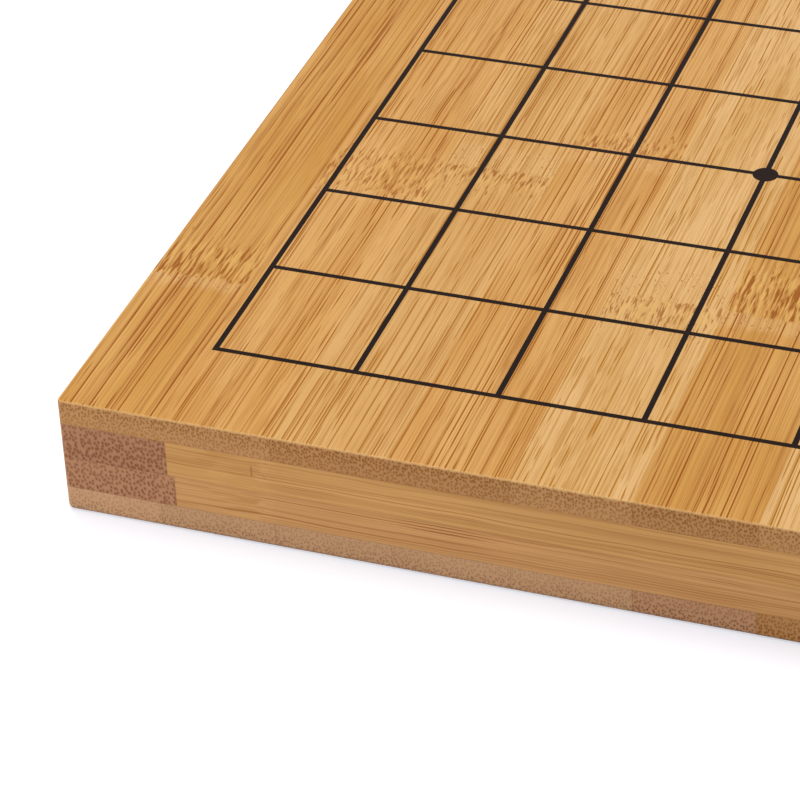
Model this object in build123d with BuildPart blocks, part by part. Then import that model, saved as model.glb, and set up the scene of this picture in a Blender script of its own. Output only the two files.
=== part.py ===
from build123d import *
import os

# A go board glued up from bamboo strips. All sizes are in millimetres.
# X runs along the near side, Y away from it and Z up.
# The origin is the middle of the underside.

# the board as it is sawn to size
board_width = 441.0
board_length = 471.0

# the four layers, from the playing face down to the underside
top_ply = 4.2
upper_core = 6.1
lower_core = 5.5
bottom_ply = 4.4

# the strips of both outer plies, with their grain along Y:
# the saw leaves the first and the last one at widths of their own
strip_count = 24
first_strip = 15.8
last_strip = 20.4

# the side bands that close the ends of the core, with their grain along Y
upper_band = 17.3
lower_band = 18.4

# the core strips, with their grain along X, and the glue between two of them
core_rows = 23
glue_line = 0.1

# sanding: the four upright corners, then the rims of the playing face and the underside
corner_radius = 1.0
top_rim = 0.5
bottom_rim = 0.8

# the printed grid of the playing face
grid_lines = 19
cell_width = 22.5
cell_length = 24.0
line_width = 0.9
star_diameter = 4.2
star_sides = 12
star_rows = 3
cells_between_stars = 6
ink_film = 0.1

# where each layer starts, counted up from the underside
lower_core_z = bottom_ply
upper_core_z = lower_core_z + lower_core
top_ply_z = upper_core_z + upper_core
board_height = top_ply_z + top_ply

# sizes that follow from the ones above
right_x = board_width / 2
far_y = board_length / 2
strip_width = (board_width - first_strip - last_strip) / (strip_count - 2)
row_depth = board_length / core_rows
grid_width = (grid_lines - 1) * cell_width
grid_length = (grid_lines - 1) * cell_length


def sanded_outline():
    """The outline of the whole board: upright corners first, then both rims."""
    with BuildPart() as board:
        with BuildSketch():
            Rectangle(board_width, board_length)
        extrude(amount=board_height)
        fillet(board.edges().filter_by(Axis.Z), radius=corner_radius)
        fillet(board.edges().group_by(Axis.Z)[-1], radius=top_rim)
        fillet(board.edges().group_by(Axis.Z)[0], radius=bottom_rim)
    return board.part


def sawn_piece(name, x_range, y_range, z, height):
    """One strip, band or rail, cut back to the sanded outline of the board."""
    (x0, x1), (y0, y1) = x_range, y_range
    with BuildPart() as piece:
        with BuildSketch(Plane.XY.offset(z)):
            with Locations(((x0 + x1) / 2, (y0 + y1) / 2)):
                Rectangle(x1 - x0, y1 - y0)
        extrude(amount=height)
        add(outline, mode=Mode.INTERSECT)
    save(piece, name)


def save(piece, name):
    """Labels a finished piece and writes it to a file of its own."""
    piece.part.label = name
    export_step(piece.part, f"parts/{name}.step")


def strip_range(number):
    """Left and right edge of an outer strip, counted from the left side of the board."""
    first_joint = first_strip - right_x
    left = -right_x if number == 1 else first_joint + (number - 2) * strip_width
    right = right_x if number == strip_count else first_joint + (number - 1) * strip_width
    return left, right


def outer_ply(name, z, height):
    """Strips side by side, each as long as the board."""
    for number in range(1, strip_count + 1):
        sawn_piece(f"{name}_{number:02d}", strip_range(number), (-far_y, far_y), z, height)


def core_layer(name, band, rail, z, height):
    """One layer of the core: two side bands, the rails of the near and far side
    and between them the hidden strips, which keep a glue line apart."""
    inner_x = right_x - band
    sawn_piece(f"left_{name}_band", (-right_x, -inner_x), (-far_y, far_y), z, height)
    sawn_piece(f"right_{name}_band", (inner_x, right_x), (-far_y, far_y), z, height)
    sawn_piece(f"front_{name}_rail", (-inner_x, inner_x), (-far_y, rail - far_y), z, height)
    sawn_piece(f"back_{name}_rail", (-inner_x, inner_x), (far_y - rail, far_y), z, height)

    hidden_rows = round((board_length - 2 * rail) / row_depth)
    with BuildPart() as strips:
        with BuildSketch(Plane.XY.offset(z)):
            with GridLocations(0, row_depth, 1, hidden_rows):
                Rectangle(2 * inner_x, row_depth - glue_line)
        extrude(amount=height)
    save(strips, f"inner_{name}_strips")


def printed_grid():
    """The lines of both directions and the star points, printed as one film of ink."""
    star_x = cells_between_stars * cell_width
    star_y = cells_between_stars * cell_length
    with BuildPart() as grid:
        with BuildSketch(Plane.XY.offset(board_height)):
            with GridLocations(cell_width, 0, grid_lines, 1):
                Rectangle(line_width, grid_length + line_width)
            with GridLocations(0, cell_length, 1, grid_lines):
                Rectangle(grid_width + line_width, line_width)
            with GridLocations(star_x, star_y, star_rows, star_rows):
                RegularPolygon(star_diameter / 2, star_sides)
        extrude(amount=ink_film)
    save(grid, "printed_grid")


os.makedirs("parts", exist_ok=True)
outline = sanded_outline()

outer_ply("top_strip", top_ply_z, top_ply)
outer_ply("bottom_strip", 0, bottom_ply)

# the joints of the lower core lie half a strip off those of the upper one
core_layer("upper_core", upper_band, row_depth, upper_core_z, upper_core)
core_layer("lower_core", lower_band, row_depth / 2, lower_core_z, lower_core)

printed_grid()
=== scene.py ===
import math
import random

import bpy
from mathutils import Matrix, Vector


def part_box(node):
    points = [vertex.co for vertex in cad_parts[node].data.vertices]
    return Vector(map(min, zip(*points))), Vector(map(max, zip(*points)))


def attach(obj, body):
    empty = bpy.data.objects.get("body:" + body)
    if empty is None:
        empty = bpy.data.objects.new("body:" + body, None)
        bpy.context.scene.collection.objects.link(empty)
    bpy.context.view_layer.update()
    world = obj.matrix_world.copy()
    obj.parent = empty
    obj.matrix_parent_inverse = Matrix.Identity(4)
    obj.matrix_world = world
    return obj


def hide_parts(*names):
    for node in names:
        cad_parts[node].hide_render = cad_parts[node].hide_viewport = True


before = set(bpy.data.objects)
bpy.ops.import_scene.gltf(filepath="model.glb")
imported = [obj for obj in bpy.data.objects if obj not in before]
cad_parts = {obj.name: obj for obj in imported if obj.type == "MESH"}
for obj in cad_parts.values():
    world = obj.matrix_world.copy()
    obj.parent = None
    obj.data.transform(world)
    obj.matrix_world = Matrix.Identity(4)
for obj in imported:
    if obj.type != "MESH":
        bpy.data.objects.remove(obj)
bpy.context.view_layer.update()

# A go board glued up from strips of pressed bamboo and finished with a clear satin lacquer.
# X runs along the near side, Y away from it along the grain of both faces, Z up. Metres.
MM = 0.001

# the board and its glue joints, read from the frame
NEAR_LEFT, FAR_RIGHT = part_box("bottom_strip_01")[0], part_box("top_strip_24")[1]
TOP_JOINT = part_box("top_strip_01")[0].z
CORE_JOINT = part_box("left_upper_core_band")[0].z
BOTTOM_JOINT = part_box("bottom_strip_01")[1].z
PLAYING_FACE = FAR_RIGHT.z
STRIP_COUNT = 24

# the printed grid
GRID_LINES = 19
CELL_WIDTH = 22.5 * MM
CELL_LENGTH = 24.0 * MM
LINE_WIDTH = 0.9 * MM
STAR_RADIUS = 2.1 * MM
STAR_SIDES = 64
STARS_ACROSS = 3
CELLS_BETWEEN_STARS = 6
INK_THICKNESS = 0.03 * MM

# Node kinds that are used all over, and settings that go with them. RANGE takes a value, the two limits
# between which it rises (or falls, where the first one is the larger) and its results at both, 0 and 1 if
# they are left out.
MATH, RANGE, MIX = "ShaderNodeMath", "ShaderNodeMapRange", "ShaderNodeMix"
VECTOR_MATH, COMBINE = "ShaderNodeVectorMath", "ShaderNodeCombineXYZ"
EASE = {"interpolation_type": "SMOOTHSTEP"}
IN_COLOUR = {"data_type": "RGBA"}


def linear(hex_colour):
    """An sRGB colour such as "#d8a25c" as linear RGBA."""
    values = [int(hex_colour[i:i + 2], 16) / 255 for i in (1, 3, 5)]
    return [v / 12.92 if v <= 0.04045 else ((v + 0.055) / 1.055) ** 2.4 for v in values] + [1.0]


def add(tree, kind, inputs=(), **settings):
    """Adds a node with its settings, and fills its inputs by name, or else in their order.

    An input takes a value, a socket to link from, or a node, which stands for its first output.
    """
    made = tree.nodes.new(kind)
    for name, value in settings.items():
        setattr(made, name, value)
    if isinstance(inputs, dict):
        filled = [(made.inputs[name], value) for name, value in inputs.items()]
    else:
        filled = zip([socket for socket in made.inputs if socket.enabled], inputs)
    for socket, value in filled:
        if isinstance(value, bpy.types.Node):
            value = next(found for found in value.outputs if found.enabled)
        if isinstance(value, bpy.types.NodeSocket):
            tree.links.new(value, socket)
        else:
            socket.default_value = value
    return made


def bare_tree(owner):
    """The emptied node tree of a material or of the world."""
    owner.use_nodes = True
    owner.node_tree.nodes.clear()
    return owner.node_tree


def new_group(name, kind, inputs, outputs):
    """An empty node group with named sockets: its tree and the nodes at its two ends."""
    tree = bpy.data.node_groups.new(name, kind)
    for label, socket in inputs:
        tree.interface.new_socket(label, in_out="INPUT", socket_type=socket)
    for label, socket in outputs:
        tree.interface.new_socket(label, in_out="OUTPUT", socket_type=socket)
    return tree, add(tree, "NodeGroupInput"), add(tree, "NodeGroupOutput")


def floats(*labels):
    """Sockets for plain numbers, for new_group."""
    return [(label, "NodeSocketFloat") for label in labels]


def drift(tree, point, stretch, detail, amount):
    """Noise centred on 0 and scaled by amount. Stretch is how fast it changes along each axis."""
    scaled = add(tree, VECTOR_MATH, (point, stretch), operation="MULTIPLY")
    noise = add(tree, "ShaderNodeTexNoise", {"Vector": scaled, "Scale": 1.0, "Detail": detail,
                                             "Roughness": 0.55})
    centred = add(tree, MATH, (noise, 0.5), operation="SUBTRACT")
    return add(tree, MATH, (centred, amount), operation="MULTIPLY")


def cells(tree, across, deep, spacing, randomness):
    """Columns along the grain: the distance from the middle of the nearest one, and its chance number."""
    place = add(tree, COMBINE, {"X": add(tree, MATH, (across, spacing), operation="DIVIDE"),
                                "Y": add(tree, MATH, (deep, spacing), operation="DIVIDE")})
    found = add(tree, "ShaderNodeTexVoronoi", {"Vector": place, "Scale": 1.0, "Randomness": randomness},
                voronoi_dimensions="2D")
    return found, add(tree, "ShaderNodeSeparateColor", (found.outputs["Color"],))


def cane_figure():
    """The figure inside a bamboo strip, in millimetres: x across it, y along the grain, z through it.

    The fibre bundles are columns along y. Cut across they show as dots and cut lengthwise as thin lines,
    and where they wander out of the cut a line thins away to a point. At a knuckle they tangle: a pale
    speckled band, then a belt of strokes that taper off along the grain.
    """
    tree, given, result = new_group(
        "cane figure", "ShaderNodeTree",
        [("Point", "NodeSocketVector"), *floats(
            "Seed", "Line spacing", "Dot spacing", "Outer wall", "Wall depth", "Flame", "Knuckle place",
            "Knuckle reach", "Lean", "Pale band", "Stroke", "Tangle")],
        floats("Line", "Hair", "Tone", "Dot", "Ring", "Dark stroke", "Light stroke", "Pale"),
    )
    take = given.outputs

    # each seed cuts the cane at another place
    shift = add(tree, VECTOR_MATH, {0: (13.7, 171.3, 5.9), "Scale": take["Seed"]},
                operation="SCALE")
    cane = add(tree, VECTOR_MATH, (take["Point"], shift), operation="ADD")
    inside = add(tree, "ShaderNodeSeparateXYZ", (cane,)).outputs
    plain = add(tree, "ShaderNodeSeparateXYZ", (take["Point"],)).outputs

    # how far past the knuckle, counted towards the side where its strokes taper off: the belt of strokes
    # begins at once and fades out slowly, and the pale band lies before it, both with ragged edges
    past = add(tree, MATH, (plain["Y"], take["Knuckle place"]), operation="SUBTRACT")
    ragged = drift(tree, cane, (0.9, 0.05, 0.5), detail=2.0, amount=4.0)
    past = add(tree, MATH, (past, take["Lean"], ragged), operation="MULTIPLY_ADD")
    begun = add(tree, MATH, (past, take["Knuckle reach"]), operation="ADD")
    opening = add(tree, RANGE, (begun, -0.8, 0.4), **EASE)
    over = add(tree, MATH, (past, take["Knuckle reach"]), operation="SUBTRACT")
    closing = add(tree, RANGE, (over, 9.0, -3.0), **EASE)
    knuckle = add(tree, MATH, (opening, closing), operation="MULTIPLY")
    banded = add(tree, MATH, (begun, take["Pale band"]), operation="ADD")
    rising = add(tree, RANGE, (banded, -2.0, 0.0), **EASE)
    falling = add(tree, RANGE, (begun, 0.5, -0.7), **EASE)
    pale = add(tree, MATH, (rising, falling), operation="MULTIPLY")

    # the strokes of the knuckle, dark and light ones side by side: the shorter, the finer
    jag = drift(tree, cane, (1.5, 0.08, 0.9), detail=1.0, amount=7.0)
    jag = add(tree, COMBINE, {"Y": jag})
    jagged = add(tree, VECTOR_MATH, (cane, jag), operation="ADD")
    lengthwise = add(tree, MATH, (0.6, take["Stroke"]), operation="DIVIDE")
    crosswise = add(tree, MATH, (lengthwise, 2.4, 1.5), operation="MULTIPLY_ADD")
    stretch = add(tree, COMBINE, (crosswise, lengthwise, 1.5))
    stroke = drift(tree, jagged, stretch, detail=2.0, amount=2.0)
    fade = add(tree, MATH, (knuckle, 0.5, -0.5), operation="MULTIPLY_ADD")
    dark = add(tree, RANGE, (add(tree, MATH, (fade, stroke), operation="ADD"), 0.0, 0.24), **EASE)
    light = add(tree, RANGE, (add(tree, MATH, (fade, stroke), operation="SUBTRACT"), 0.0, 0.26), **EASE)
    speck = drift(tree, cane, (2.3, 1.1, 2.0), detail=1.0, amount=2.0)
    speck = add(tree, RANGE, (speck, 0.24, 0.56), **EASE)
    speck = add(tree, MATH, (speck, pale), operation="MULTIPLY")
    dark = add(tree, MATH, (dark, speck), operation="MAXIMUM")
    dark, light, pale = [add(tree, MATH, (made, take["Tangle"]), operation="MULTIPLY")
                         for made in (dark, light, pale)]

    # bundles wander slowly through the cut, and faster where the strip was planed at a slant. Their lines
    # differ in width and strength and give way at the knuckle.
    wander = drift(tree, cane, (0.16, 0.010, 0.2), detail=2.0, amount=1.2)
    flame = drift(tree, cane, (0.55, 0.060, 0.3), detail=2.0, amount=take["Flame"])
    deep = add(tree, MATH, (wander, flame), operation="ADD")
    deep = add(tree, MATH, (inside["Z"], deep), operation="ADD")
    sway = drift(tree, cane, (0.05, 0.03, 0.05), detail=1.0, amount=0.5)
    across = add(tree, MATH, (inside["X"], sway), operation="ADD")
    moved = add(tree, COMBINE, (across, inside["Y"], deep))
    far, chance = cells(tree, across, deep, take["Line spacing"], randomness=1.0)
    width = add(tree, RANGE, (chance, 0.0, 1.0, 0.18, 0.40), **EASE)
    core = add(tree, MATH, (width, 0.5), operation="MULTIPLY")
    line = add(tree, RANGE, (far, width, core), **EASE)
    strength = add(tree, RANGE, (chance, 0.2, 0.9, 0.30, 1.0), **EASE)
    line = add(tree, MATH, (line, strength), operation="MULTIPLY")
    clear = add(tree, RANGE, (knuckle, 1.0, 0.0, 0.3, 1.0), **EASE)
    line = add(tree, MATH, (line, clear), operation="MULTIPLY")

    # cut across, the bundles crowd at the outer wall of the cane and thin out inwards
    inwards = add(tree, MATH, (plain["Z"], take["Outer wall"]), operation="SUBTRACT")
    inwards = add(tree, MATH, (inwards,), operation="ABSOLUTE")
    inwards = add(tree, MATH, (inwards, take["Wall depth"]), operation="DIVIDE")
    uneven = drift(tree, cane, (0.25, 0.02, 0.25), detail=2.0, amount=0.6)
    inwards = add(tree, MATH, (inwards, uneven), operation="ADD")
    crowd = add(tree, RANGE, (inwards, 1.0, 0.0), **EASE)
    thinned = add(tree, RANGE, (crowd, 0.0, 1.0, 0.35, 1.0), **EASE)
    line = add(tree, MATH, (line, thinned), operation="MULTIPLY")

    # the dots: a third longer through the wall than across it, and fainter inwards
    squeezed = add(tree, MATH, (inside["Z"], 0.72), operation="MULTIPLY")
    far, chance = cells(tree, inside["X"], squeezed, take["Dot spacing"], randomness=0.88)
    radius = add(tree, RANGE, (crowd, 0.0, 1.0, 0.30, 0.38), **EASE)
    heart = add(tree, MATH, (radius, 0.1), operation="MULTIPLY")
    dot = add(tree, RANGE, (far, radius, heart), **EASE)
    for measure, least in ((chance, 0.6), (crowd, 0.35)):
        strength = add(tree, RANGE, (measure, 0.0, 0.8, least, 1.0), **EASE)
        dot = add(tree, MATH, (dot, strength), operation="MULTIPLY")
    inner = add(tree, MATH, (radius, 0.8), operation="MULTIPLY")
    outer = add(tree, MATH, (radius, 1.6), operation="MULTIPLY")

    shown = {
        "Line": line,
        "Hair": drift(tree, moved, (3.6, 0.012, 3.0), detail=2.0, amount=2.0),
        "Tone": drift(tree, cane, (0.13, 0.022, 0.16), detail=2.0, amount=2.0),
        "Dot": dot,
        "Ring": add(tree, RANGE, (far, inner, outer), **EASE),
        "Dark stroke": dark,
        "Light stroke": light,
        "Pale": pale,
    }
    for label, made in shown.items():
        tree.links.new(made.outputs[0], result.inputs[label])
    return tree


FIGURE = cane_figure()

# the tones of the canes cut along the grain: light and deep wood, and the lines of the bundles
HONEY = ("#deaa66", "#d19951", "#9d5a00")
STRAW = ("#dfaf6e", "#d3a05c", "#a96c1e")
AMBER = ("#d9a45a", "#ca9244", "#964e00")
PALE = ("#e3b67a", "#d8a866", "#ac6e0c")
UPPER_RAIL = ("#ca9a5e", "#c09055", "#9c6a36")
LOWER_RAIL = ("#c99962", "#bf8e58", "#965e30")

# the tones cut across the grain: wood and bundles
GOLDEN_ENDS = ("#a87744", "#6e3d10")
UMBER_ENDS = ("#a06d39", "#64350c")
RUSSET_ENDS = ("#956345", "#663a24")
BRICK_ENDS = ("#a06e4e", "#663c26")
BUFF_ENDS = ("#bc916c", "#80583a")
TAN_ENDS = ("#b38a65", "#7a5236")
RUSTY_ENDS = ("#aa7b59", "#40220c")

# strokes in the knuckles, the paler fibres where the upper rim was sanded with a painted highlight on them,
# and the painted shade along the lower rim
KNUCKLE_DARK, KNUCKLE_LIGHT = "#965000", "#e8ba6a"
PALE_RIM_AND_HIGHLIGHT, BUNDLE_RING, FLOOR_SHADE_PAINT = "#ecc084", "#e2b98a", "#5c4a42"


def glue_line(tree, axes, joints):
    """1 on the planes where a piece is glued to its neighbours, 0 from a sixth of a millimetre away on."""
    nearest = None
    for axis, place in joints:
        gap = add(tree, MATH, (axes[axis], place / MM), operation="SUBTRACT")
        gap = add(tree, MATH, (gap,), operation="ABSOLUTE")
        nearest = gap if nearest is None else add(tree, MATH, (gap, nearest), operation="MINIMUM")
    return add(tree, RANGE, (nearest, 0.17, 0.05), **EASE)


def bamboo(name, grain, joints, tone, ends, seed, figure, check=None):
    """Pressed bamboo under a clear satin lacquer: fine lines along the grain, dots across it, a soft sheen.

    grain is the axis of the fibres, joints are the planes where the piece is glued, tone and ends are its
    colours along and across the grain, figure holds the settings of the cane's figure, and check is the
    place of a short upright crack on the near side: its x and the heights of its two ends.
    """
    light, deep, line = [linear(colour) for colour in tone]
    ground, dot = [linear(colour) for colour in ends]
    material = bpy.data.materials.new(name)
    tree = bare_tree(material)
    place = add(tree, "ShaderNodeTexCoord").outputs
    point = add(tree, VECTOR_MATH, (place["Object"], 1 / MM), operation="SCALE")
    axes = add(tree, "ShaderNodeSeparateXYZ", (point,)).outputs
    order = "XYZ" if grain == "Y" else "YXZ"
    turned = add(tree, COMBINE, [axes[axis] for axis in order])
    shown = add(tree, "ShaderNodeGroup", {"Point": turned, "Seed": seed, **figure},
                node_tree=FIGURE).outputs

    # cut along the grain: cloudy tones, fibres, the lines of the bundles, the knuckle. Single fibres are
    # 0.02 mm wide, too fine to show, so they are drawn about 0.3 mm wide.
    clouds = add(tree, RANGE, (shown["Tone"], -0.45, 0.45), **EASE)
    colour = add(tree, MIX, (clouds, light, deep), **IN_COLOUR)
    hair = add(tree, RANGE, (shown["Hair"], -0.20, 0.50, 0.0, 0.70), **EASE)
    for measure, strength, paint in (
            (shown["Pale"], 0.45, linear(PALE[0])), (hair, 0.9, line), (shown["Line"], 1.15, line),
            (shown["Light stroke"], 0.50, linear(KNUCKLE_LIGHT)),
            (shown["Dark stroke"], 0.95, linear(KNUCKLE_DARK))):
        amount = add(tree, MATH, (measure, strength), operation="MULTIPLY")
        colour = add(tree, MIX, (amount, colour, paint), **IN_COLOUR)

    if check:
        # the crack, which fades in and out at its two ends
        x, low, high = check
        aside = add(tree, MATH, (axes["X"], x), operation="SUBTRACT")
        aside = add(tree, MATH, (aside,), operation="ABSOLUTE")
        crack = add(tree, RANGE, (aside, 0.20, 0.06, 0.0, 0.6), **EASE)
        for start, stop in ((low, low + 0.4), (high, high - 0.4)):
            within = add(tree, RANGE, (axes["Z"], start, stop), **EASE)
            crack = add(tree, MATH, (crack, within), operation="MULTIPLY")
        colour = add(tree, MIX, (crack, colour, dot), **IN_COLOUR)

    # cut across the grain: darker wood with the bundles as dots, each in a slightly paler ring
    clouds = add(tree, RANGE, (shown["Tone"], -0.40, 0.40, 0.0, 0.12), **EASE)
    cut = add(tree, MIX, (clouds, ground, dot), **IN_COLOUR)
    ring = add(tree, MATH, (shown["Ring"], 0.18), operation="MULTIPLY")
    cut = add(tree, MIX, (ring, cut, linear(BUNDLE_RING)), **IN_COLOUR)
    bundle = add(tree, MATH, (shown["Dot"], 0.85), operation="MULTIPLY")
    cut = add(tree, MIX, (bundle, cut, dot), **IN_COLOUR)
    normal = add(tree, "ShaderNodeSeparateXYZ", (place["Normal"],)).outputs
    facing = add(tree, MATH, (normal[grain],), operation="ABSOLUTE")
    facing = add(tree, RANGE, (facing, 0.55, 0.85), **EASE)
    colour = add(tree, MIX, (facing, colour, cut), **IN_COLOUR)

    # the glue shows on the sides; the sanded upper rim bares paler fibres and carries a painted highlight;
    # painted shade darkens the wood near the floor
    sides = add(tree, RANGE, (normal["Z"], 0.5, 0.2, 0.0, 0.22), **EASE)
    glue = add(tree, MATH, (glue_line(tree, axes, joints), sides), operation="MULTIPLY")
    colour = add(tree, MIX, (glue, colour, dot), **IN_COLOUR)
    # painted highlight: the upward-slanting upper rim is lightened, partly for its paler sanded fibres and
    # partly as a painted sheen
    upward = add(tree, RANGE, (normal["Z"], 0.25, 0.50), **EASE)
    slanted = add(tree, RANGE, (normal["Z"], 0.97, 0.85, 0.0, 0.36), **EASE)
    rim_fibres_and_highlight = add(tree, MATH, (upward, slanted), operation="MULTIPLY")
    colour = add(tree, MIX, (rim_fibres_and_highlight, colour, linear(PALE_RIM_AND_HIGHLIGHT)), **IN_COLOUR)
    # painted shade: the wood darkens towards the bottom, below about 0.9 mm, which darkens the lower rim
    # and the whole underside
    painted_floor_shade = add(tree, RANGE, (axes["Z"], 0.9, 0.1, 0.0, 0.55), **EASE)
    colour = add(tree, MIX, (painted_floor_shade, colour, linear(FLOOR_SHADE_PAINT)), **IN_COLOUR)

    # the lacquer fills the pores but lets them be felt. The photographed one mirrors almost nothing of
    # its white room, so the specular level is low.
    pores = add(tree, MATH, (shown["Line"], shown["Dark stroke"]), operation="MAXIMUM")
    sunk = add(tree, MATH, (pores, -1.0), operation="MULTIPLY")
    relief = add(tree, "ShaderNodeBump", {"Height": sunk, "Strength": 0.2, "Distance": 0.02 * MM})
    gloss = add(tree, RANGE, (pores, 0.0, 1.0, 0.40, 0.50), **EASE)
    shader = add(tree, "ShaderNodeBsdfPrincipled",
                 {"Base Color": colour, "Roughness": gloss, "Normal": relief, "IOR": 1.5,
                  "Specular IOR Level": 0.10})
    add(tree, "ShaderNodeOutputMaterial", {"Surface": shader})
    return material


def dress(node, material):
    """Gives a CAD piece its finish."""
    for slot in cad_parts[node].material_slots:
        slot.link = "OBJECT"
        slot.material = material


def near(distance):
    """A place along the grain, in millimetres, counted from the near side of the board."""
    return NEAR_LEFT.y / MM + distance


def knuckle(place, reach, lean, band, stroke, tangle=0.8):
    """The settings of one knuckle, in millimetres: its strokes taper off where lean points."""
    return {"Knuckle place": place, "Knuckle reach": reach, "Lean": lean, "Pale band": band,
            "Stroke": stroke, "Tangle": tangle}


# the canes that show in the near left corner, by strip: tones, ends, millimetres between two bundles
# (0.4 to 0.6 in real cane), flame of the planed face and knuckle
TOP_CANES = {
    1: (AMBER, GOLDEN_ENDS, 0.52, 0.5, knuckle(near(42), 4.5, 1.0, 2.0, 3.4, 0.95)),
    2: (HONEY, GOLDEN_ENDS, 0.43, 0.7, knuckle(near(75), 6.0, 1.0, 2.0, 1.9, 0.75)),
    3: (STRAW, UMBER_ENDS, 0.42, 0.8, knuckle(near(78.5), 2.5, -1.0, 6.0, 1.8, 0.8)),
    4: (HONEY, UMBER_ENDS, 0.43, 0.6, knuckle(near(94), 2.0, 1.0, 4.0, 1.8)),
    5: (PALE, GOLDEN_ENDS, 0.44, 1.3, knuckle(near(47.5), 3.5, -1.0, 8.0, 1.6, 0.75)),
    6: (AMBER, UMBER_ENDS, 0.44, 0.4, knuckle(near(57), 6.0, 1.0, 3.0, 2.4, 0.95)),
    7: (PALE, GOLDEN_ENDS, 0.46, 0.9, knuckle(near(120), 4.0, 1.0, 3.0, 1.8)),
}
BOTTOM_CANES = {
    1: (STRAW, BUFF_ENDS, 0.55, 0.5, knuckle(near(310), 4.0, 1.0, 3.0, 2.0)),
    2: (HONEY, TAN_ENDS, 0.52, 0.7, knuckle(near(140), 4.0, -1.0, 3.0, 2.0)),
    3: (HONEY, TAN_ENDS, 0.52, 0.5, knuckle(near(400), 4.0, 1.0, 3.0, 2.0)),
    4: (AMBER, TAN_ENDS, 0.52, 0.9, knuckle(near(230), 4.0, 1.0, 3.0, 2.0)),
    5: (STRAW, TAN_ENDS, 0.52, 0.5, knuckle(near(60), 4.0, -1.0, 3.0, 2.0)),
    6: (HONEY, RUSTY_ENDS, 0.52, 0.4, knuckle(near(350), 4.0, 1.0, 3.0, 2.0)),
}
chance = random.Random(19)


def chance_cane():
    """What a strip might be cut from, drawn by chance."""
    tone = chance.choice((HONEY, STRAW, AMBER, HONEY, PALE))
    ends = chance.choice((GOLDEN_ENDS, UMBER_ENDS, TAN_ENDS))
    flame = chance.choice((0.4, 0.5, 0.8, 1.3))
    place = near(chance.uniform(30, 440))
    found = knuckle(place, chance.uniform(2, 6), chance.choice((-1.0, 1.0)), chance.uniform(2, 8),
                    chance.uniform(1.5, 3.2))
    return tone, ends, chance.uniform(0.42, 0.56), flame, found


def dress_ply(face, joint, wall, shown, dots, seed):
    """The strips of one face, glued to the core at joint and to each other.

    wall is the height of the cane's outer wall, and dots the millimetres between two bundles cut across.
    """
    for number in range(1, STRIP_COUNT + 1):
        node = f"{face}_strip_{number:02d}"
        low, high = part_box(node)
        joints = [("Z", joint)]
        if number > 1:
            joints.append(("X", low.x))
        if number < STRIP_COUNT:
            joints.append(("X", high.x))
        # every strip draws a cane, so the tables above can change without changing the other strips
        drawn = chance_cane()
        tone, ends, spacing, flame, found = shown.get(number, drawn)
        figure = {"Line spacing": spacing, "Dot spacing": dots, "Outer wall": wall / MM, "Wall depth": 4.0,
                  "Flame": flame, **found}
        dress(node, bamboo(f"lacquered bamboo, {face} strip {number}", "Y", joints, tone, ends,
                           seed + number, figure))


dress_ply("top", TOP_JOINT, PLAYING_FACE, TOP_CANES, dots=0.45, seed=0)
dress_ply("bottom", BOTTOM_JOINT, 0.0, BOTTOM_CANES, dots=0.48, seed=40)

# the crack in the near side of the upper rail, beside the rails' knuckle: its x and the heights of its
# ends, in millimetres
CHECK = (NEAR_LEFT.x / MM + 31.0, 12.4, 14.6)

# the two layers of the core: bands, rails and hidden strips
for layer, low, high, rail, band, seed in (
        ("lower_core", BOTTOM_JOINT, CORE_JOINT, LOWER_RAIL, BRICK_ENDS, 80),
        ("upper_core", CORE_JOINT, TOP_JOINT, UPPER_RAIL, RUSSET_ENDS, 90)):
    planes = [("Z", low), ("Z", high)]
    left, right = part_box(f"left_{layer}_band")[1].x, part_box(f"right_{layer}_band")[0].x
    ends = planes + [("X", left), ("X", right)]
    across = {"Line spacing": 0.50, "Dot spacing": 0.57, "Outer wall": low / MM, "Wall depth": 9.0,
              "Flame": 0.4, **knuckle(near(260), 4.0, 1.0, 3.0, 2.0)}
    for turn, side in enumerate(("left", "right")):
        dress(f"{side}_{layer}_band",
              bamboo(f"lacquered bamboo, {side} {layer} band", "Y", ends, AMBER, band, seed + turn,
                     across))
    along = {"Line spacing": 0.38, "Dot spacing": 0.57, "Outer wall": CORE_JOINT / MM, "Wall depth": 4.0,
             "Flame": 0.8, **knuckle(CHECK[0] - 3.0, 4.0, -1.0, 1.0, 6.0, 0.25)}
    for turn, side in enumerate(("front", "back")):
        check = CHECK if (side, layer) == ("front", "upper_core") else None
        dress(f"{side}_{layer}_rail",
              bamboo(f"lacquered bamboo, {side} {layer} rail", "X", ends, rail, BUFF_ENDS,
                     seed + 2 + turn, along, check))
    dress(f"inner_{layer}_strips",
          bamboo(f"bare bamboo, {layer}", "X", planes, rail, BUFF_ENDS, seed + 5, along))


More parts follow.
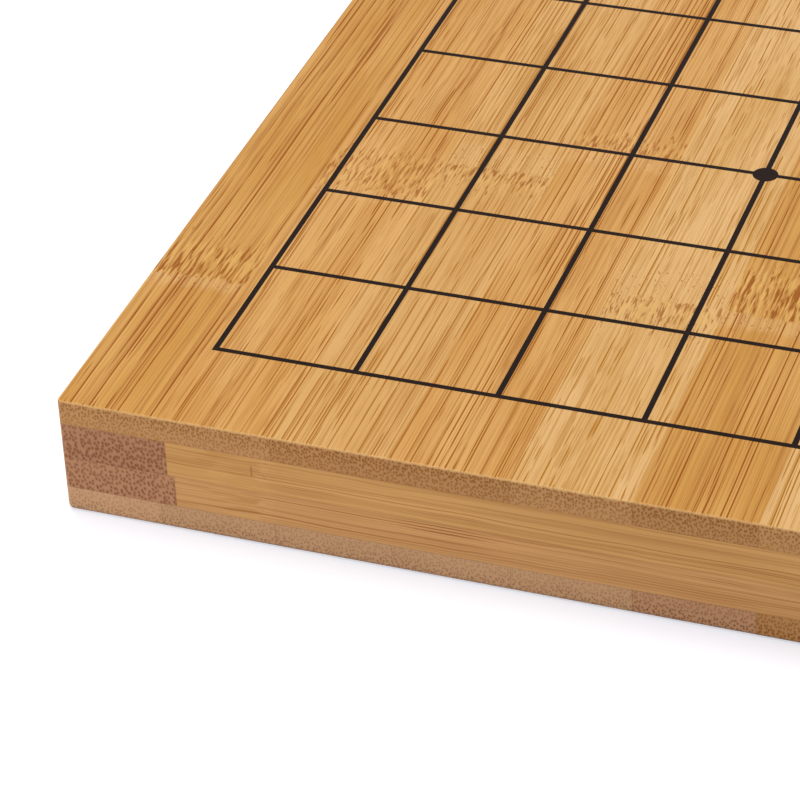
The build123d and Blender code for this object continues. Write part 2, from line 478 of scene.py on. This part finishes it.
def printed_lattice():
    """The lines of both directions and the round star points, fused into one film of ink."""
    tree, given, result = new_group(
        "printed lattice", "GeometryNodeTree",
        [("Geometry", "NodeSocketGeometry"), ("Lines", "NodeSocketInt"), ("Stars across", "NodeSocketInt"),
         ("Cells between stars", "NodeSocketInt"), ("Ink", "NodeSocketMaterial"),
         *floats("Cell width", "Cell length", "Line width", "Star radius", "Thickness", "Face height")],
        [("Geometry", "NodeSocketGeometry")],
    )
    take = given.outputs
    cells_across = add(tree, MATH, (take["Lines"], 1.0), operation="SUBTRACT")
    middle = add(tree, MATH, (take["Thickness"], 0.5, take["Face height"]), operation="MULTIPLY_ADD")

    # one bar for each line of a direction, side by side along the other direction
    films = []
    for axis, step, run in (("X", "Cell width", "Cell length"), ("Y", "Cell length", "Cell width")):
        other = "Y" if axis == "X" else "X"
        length = add(tree, MATH, (cells_across, take[run], take["Line width"]), operation="MULTIPLY_ADD")
        size = add(tree, COMBINE, {axis: take["Line width"], other: length, "Z": take["Thickness"]})
        bar = add(tree, "GeometryNodeMeshCube", {"Size": size})
        spread = add(tree, MATH, (cells_across, take[step]), operation="MULTIPLY")
        first = add(tree, MATH, (spread, -0.5), operation="MULTIPLY")
        start = add(tree, COMBINE, {axis: first, "Z": middle})
        stride = add(tree, COMBINE, {axis: take[step]})
        row = add(tree, "GeometryNodeMeshLine", {"Count": take["Lines"], "Start Location": start,
                                                 "Offset": stride})
        films.append(add(tree, "GeometryNodeInstanceOnPoints", {"Points": row, "Instance": bar}))

    # the stars: one disc on each point of a smaller grid
    gaps = add(tree, MATH, (take["Stars across"], 1.0), operation="SUBTRACT")
    cells_apart = add(tree, MATH, (gaps, take["Cells between stars"]), operation="MULTIPLY")
    spans = [add(tree, MATH, (cells_apart, take[step]), operation="MULTIPLY")
             for step in ("Cell width", "Cell length")]
    points = add(tree, "GeometryNodeMeshGrid", {
        "Size X": spans[0], "Size Y": spans[1], "Vertices X": take["Stars across"],
        "Vertices Y": take["Stars across"]})
    points = add(tree, "GeometryNodeTransform", {
        "Geometry": points, "Translation": add(tree, COMBINE, {"Z": middle})})
    disc = add(tree, "GeometryNodeMeshCylinder", {
        "Vertices": STAR_SIDES, "Radius": take["Star radius"], "Depth": take["Thickness"]})
    films.append(add(tree, "GeometryNodeInstanceOnPoints", {"Points": points, "Instance": disc}))

    fused = add(tree, "GeometryNodeMeshBoolean", operation="UNION", solver="EXACT")
    for film in films:
        film = add(tree, "GeometryNodeRealizeInstances", {"Geometry": film})
        tree.links.new(film.outputs[0], fused.inputs["Mesh 2"])
    plain = add(tree, "GeometryNodeRealizeInstances", {"Geometry": fused.outputs["Mesh"]})
    inked = add(tree, "GeometryNodeSetMaterial", {"Geometry": plain, "Material": take["Ink"]})
    tree.links.new(inked.outputs[0], result.inputs["Geometry"])
    return tree


def screen_print():
    """Near-black ink with a little warmth, slightly uneven in tone, dull where the wood is satin."""
    ink = bpy.data.materials.new("screen-printed ink under lacquer")
    tree = bare_tree(ink)
    place = add(tree, "ShaderNodeTexCoord").outputs["Object"]
    blot = add(tree, "ShaderNodeTexNoise", {"Vector": place, "Scale": 400.0, "Detail": 2.0})
    shade = add(tree, MIX, (blot, linear("#130703"), linear("#22110a")), **IN_COLOUR)
    shader = add(tree, "ShaderNodeBsdfPrincipled", {"Base Color": shade, "Roughness": 0.45, "IOR": 1.5,
                                                    "Specular IOR Level": 0.05})
    add(tree, "ShaderNodeOutputMaterial", {"Surface": shader})
    return ink


def print_grid(ink):
    """Runs the lattice's node tree and keeps its result as a plain mesh."""
    made = bpy.data.objects.new("printed_lattice", bpy.data.meshes.new("printed_lattice"))
    bpy.context.scene.collection.objects.link(made)
    modifier = made.modifiers.new("lattice", "NODES")
    modifier.node_group = printed_lattice()
    settings = {"Lines": GRID_LINES, "Cell width": CELL_WIDTH, "Cell length": CELL_LENGTH,
                "Line width": LINE_WIDTH, "Star radius": STAR_RADIUS, "Stars across": STARS_ACROSS,
                "Cells between stars": CELLS_BETWEEN_STARS, "Thickness": INK_THICKNESS,
                "Face height": PLAYING_FACE, "Ink": ink}
    for socket in modifier.node_group.interface.items_tree:
        if socket.name in settings and socket.in_out == "INPUT":
            modifier[socket.identifier] = settings[socket.name]
    evaluated = made.evaluated_get(bpy.context.evaluated_depsgraph_get())
    finished = bpy.data.meshes.new_from_object(evaluated)
    made.modifiers.remove(modifier)
    made.data = finished
    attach(made, "root")
    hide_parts("printed_grid")


print_grid(screen_print())


def looked_at(tree):
    """1 for what the camera sees straight, in a reflection or through glass, 0 for light that bounces."""
    seen = add(tree, "ShaderNodeLightPath").outputs
    rays = add(tree, MATH, (seen["Is Camera Ray"], seen["Is Glossy Ray"]), operation="ADD")
    rays = add(tree, MATH, (rays, seen["Is Transmission Ray"]), operation="ADD")
    return add(tree, MATH, (rays, 1.0), operation="MINIMUM")


# the table under the board: paper without a sheen, so only the board's soft shadow shows on it. Where it
# is looked at it is lifted to white.
bpy.ops.mesh.primitive_plane_add(size=6.0, location=(0, 0, 0))
table = bpy.context.object
table.name = "table_top"
white = bpy.data.materials.new("matt white paper, rolled")
tree = bare_tree(white)
paper = add(tree, "ShaderNodeBsdfDiffuse", {"Color": linear("#f2f1f5")})
lift = add(tree, "ShaderNodeEmission", {"Color": linear("#e4effb"), "Strength": 0.445})
lifted = add(tree, "ShaderNodeAddShader", (paper, lift))
surface = add(tree, "ShaderNodeMixShader", (looked_at(tree), paper, lifted))
add(tree, "ShaderNodeOutputMaterial", {"Surface": surface})
table.data.materials.append(white)

# a white room: full white where it is looked at, softer where it lights the board
world = bpy.data.worlds.new("white room")
bpy.context.scene.world = world
tree = bare_tree(world)
level = add(tree, RANGE, (looked_at(tree), 0.0, 1.0, 0.55, 1.0))
glow = add(tree, "ShaderNodeBackground", {"Strength": level, "Color": linear("#ffffff")})
add(tree, "ShaderNodeOutputWorld", {"Surface": glow})


def softbox(name, place, target, size, power):
    """A soft rectangular lamp that faces target."""
    lamp = bpy.data.lights.new(name, "AREA")
    lamp.shape = "RECTANGLE"
    lamp.size, lamp.size_y = size
    lamp.energy = power
    made = bpy.data.objects.new(name, lamp)
    made.location = place
    made.rotation_euler = (Vector(target) - Vector(place)).to_track_quat("-Z", "Y").to_euler()
    bpy.context.scene.collection.objects.link(made)


softbox("overhead_softbox", (-0.1, 0.3, 1.3), (0, 0, 0), (1.6, 1.2), 11.5)
softbox("front_softbox", (-0.36, -0.56, 0.16), (-0.20, -0.235, 0.0), (0.3, 0.2), 0.55)

# the camera of the photograph, fitted to the crossings of the grid and to the board's outline
camera_data = bpy.data.cameras.new("camera")
camera_data.lens = 153.53
camera_data.sensor_width = 36.0
camera_data.clip_start = 0.05
camera = bpy.data.objects.new("camera", camera_data)
camera.location = (-24.472 * MM, -608.671 * MM, 309.869 * MM)
camera.rotation_euler = [math.radians(angle) for angle in (55.02455, 2.07468, 19.25859)]
bpy.context.scene.collection.objects.link(camera)
bpy.context.scene.camera = camera
bpy.context.scene.view_settings.view_transform = "Standard"
